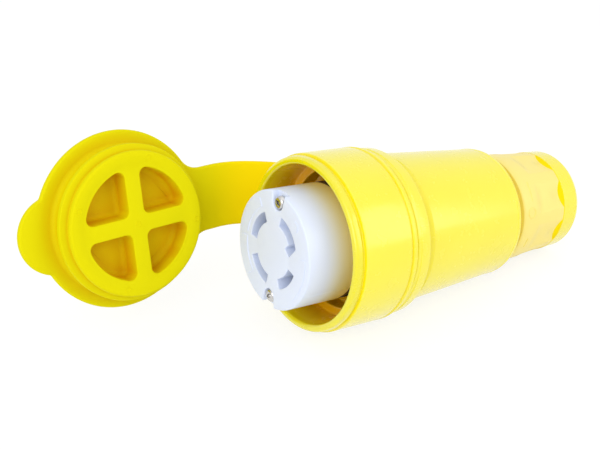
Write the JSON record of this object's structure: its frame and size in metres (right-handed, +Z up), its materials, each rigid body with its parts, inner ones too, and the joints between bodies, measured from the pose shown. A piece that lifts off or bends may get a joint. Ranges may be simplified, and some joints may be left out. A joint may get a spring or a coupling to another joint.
{
  "type": "shore power connector",
  "caption": "Yellow rubber-jacketed locking shore power connector with a white slotted contact face, a cord gland nut and a ribbed sealing cap held by a swivelling strap.",
  "frame": {"origin": "centre of the white contact face", "axes": "+X runs from the contact face to the cord end along the jacket's axis, +Z is up, with the face's screws at the top and bottom"},
  "size_m": [0.2644, 0.1046, 0.0798],
  "materials": {
    "jacket_yellow": "semi-gloss moulded elastomer, lemon yellow",
    "cap_yellow": "matt moulded elastomer, deeper yellow",
    "nut_yellow": "semi-gloss moulded nylon, pale orange yellow",
    "nylon_white": "semi-gloss moulded nylon, cool white",
    "housing_black": "matt moulded nylon, black",
    "seal_black": "matt rubber, black",
    "brass": "bare formed brass",
    "screw_steel": "bright plated steel"
  },
  "bodies": {
    "jacket": {"jacket": "jacket_yellow", "gland_gasket": "seal_black", "gland_body": "nut_yellow", "gland_grommet": "seal_black"},
    "strap": {"cap_strap": "cap_yellow"},
    "cap": {"flip_cap": "cap_yellow"},
    "insert": {"face_shell": "nylon_white", "contact_carrier": "housing_black", "terminal_housing": "housing_black", "contact_ground": "brass", "contact_neutral": "brass", "contact_line_x": "brass", "contact_line_y": "brass", "clamp_ground": "screw_steel", "clamp_neutral": "screw_steel", "clamp_line_x": "screw_steel", "clamp_line_y": "screw_steel", "terminal_screw_ground": "screw_steel", "terminal_screw_neutral": "screw_steel", "terminal_screw_line_x": "screw_steel", "terminal_screw_line_y": "screw_steel", "face_screw_top": "screw_steel", "face_screw_bottom": "screw_steel"},
    "washer": {"slip_washer": "nylon_white"},
    "nut": {"gland_nut": "nut_yellow", "tail_ring": "jacket_yellow"}
  },
  "joints": [
    {"name": "ring_swivel", "type": "hinge", "parent": "jacket", "child": "strap", "pos_m": [0.0527, 0, 0], "axis": [1, 0, 0], "continuous": true},
    {"name": "cap_bend", "type": "hinge", "parent": "strap", "child": "cap", "pos_m": [0.0125, 0.05744, 0.00425], "axis": [0.1161, 0.1127, 0.9868], "range_deg": [0, 88.6]},
    {"name": "insert_slide", "type": "slide", "parent": "jacket", "child": "insert", "axis": [1, 0, 0], "range_m": [0, 0.0305]},
    {"name": "nut_travel", "type": "slide", "parent": "jacket", "child": "washer", "axis": [1, 0, 0], "range_m": [-0.0025, 0.005]},
    {"name": "nut_turn", "type": "hinge", "parent": "washer", "child": "nut", "pos_m": [0.15, 0, 0], "axis": [1, 0, 0], "range_deg": [-360, 720]}
  ],
  "couplings": [
    {"joint": "insert_slide", "follows": "cap_bend", "m_per_rad": 0.0197},
    {"joint": "nut_travel", "follows": "nut_turn", "m_per_rad": 0.0003978}
  ]
}
